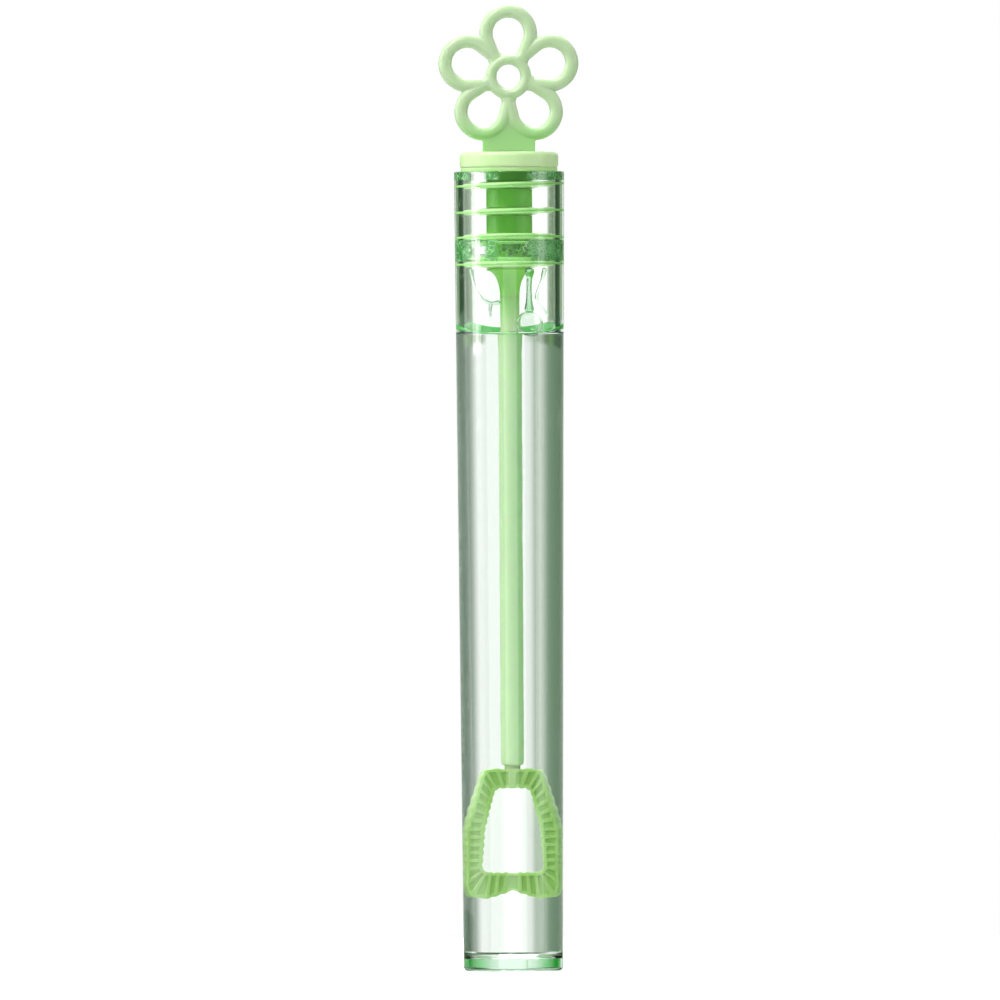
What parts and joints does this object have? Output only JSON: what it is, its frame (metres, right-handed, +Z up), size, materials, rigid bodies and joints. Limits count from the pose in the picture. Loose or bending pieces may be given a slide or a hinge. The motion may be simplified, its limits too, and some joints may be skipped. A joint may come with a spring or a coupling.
{
  "type": "bubble wand",
  "caption": "Clear tapered tube of bubble solution, closed by a flower-topped wand whose ringed stopper, stem and ribbed loop pull straight out.",
  "frame": {"origin": "middle of the tube's foot, on the surface that it stands on", "axes": "+Z up the tube's axis, the flower's face towards -Y and its width along X"},
  "size_m": [0.0164, 0.013, 0.1137],
  "materials": {
    "tube": "polished",
    "solution": "polished",
    "stopper": "satin",
    "seal": "satin",
    "stem": "satin",
    "loop": "satin",
    "topper": "satin"
  },
  "bodies": {
    "tube": {"tube": "tube", "bubble_solution": "solution"},
    "seals": {"seal_ring_1": "seal", "seal_ring_2": "seal", "seal_ring_3": "seal", "seal_ring_4": "seal"},
    "wand": {"stopper": "stopper", "wand_stem": "stem", "bubble_loop": "loop", "flower_topper": "topper"}
  },
  "joints": [
    {"name": "wand_pull", "type": "slide", "parent": "tube", "child": "seals", "axis": [0, 0, 1], "range_m": [0, 0.092], "deforming": ["bubble_solution"]},
    {"name": "wand_twist", "type": "hinge", "parent": "seals", "child": "wand", "pos_m": [0, 0, 0.09], "axis": [0, 0, 1], "continuous": true}
  ]
}
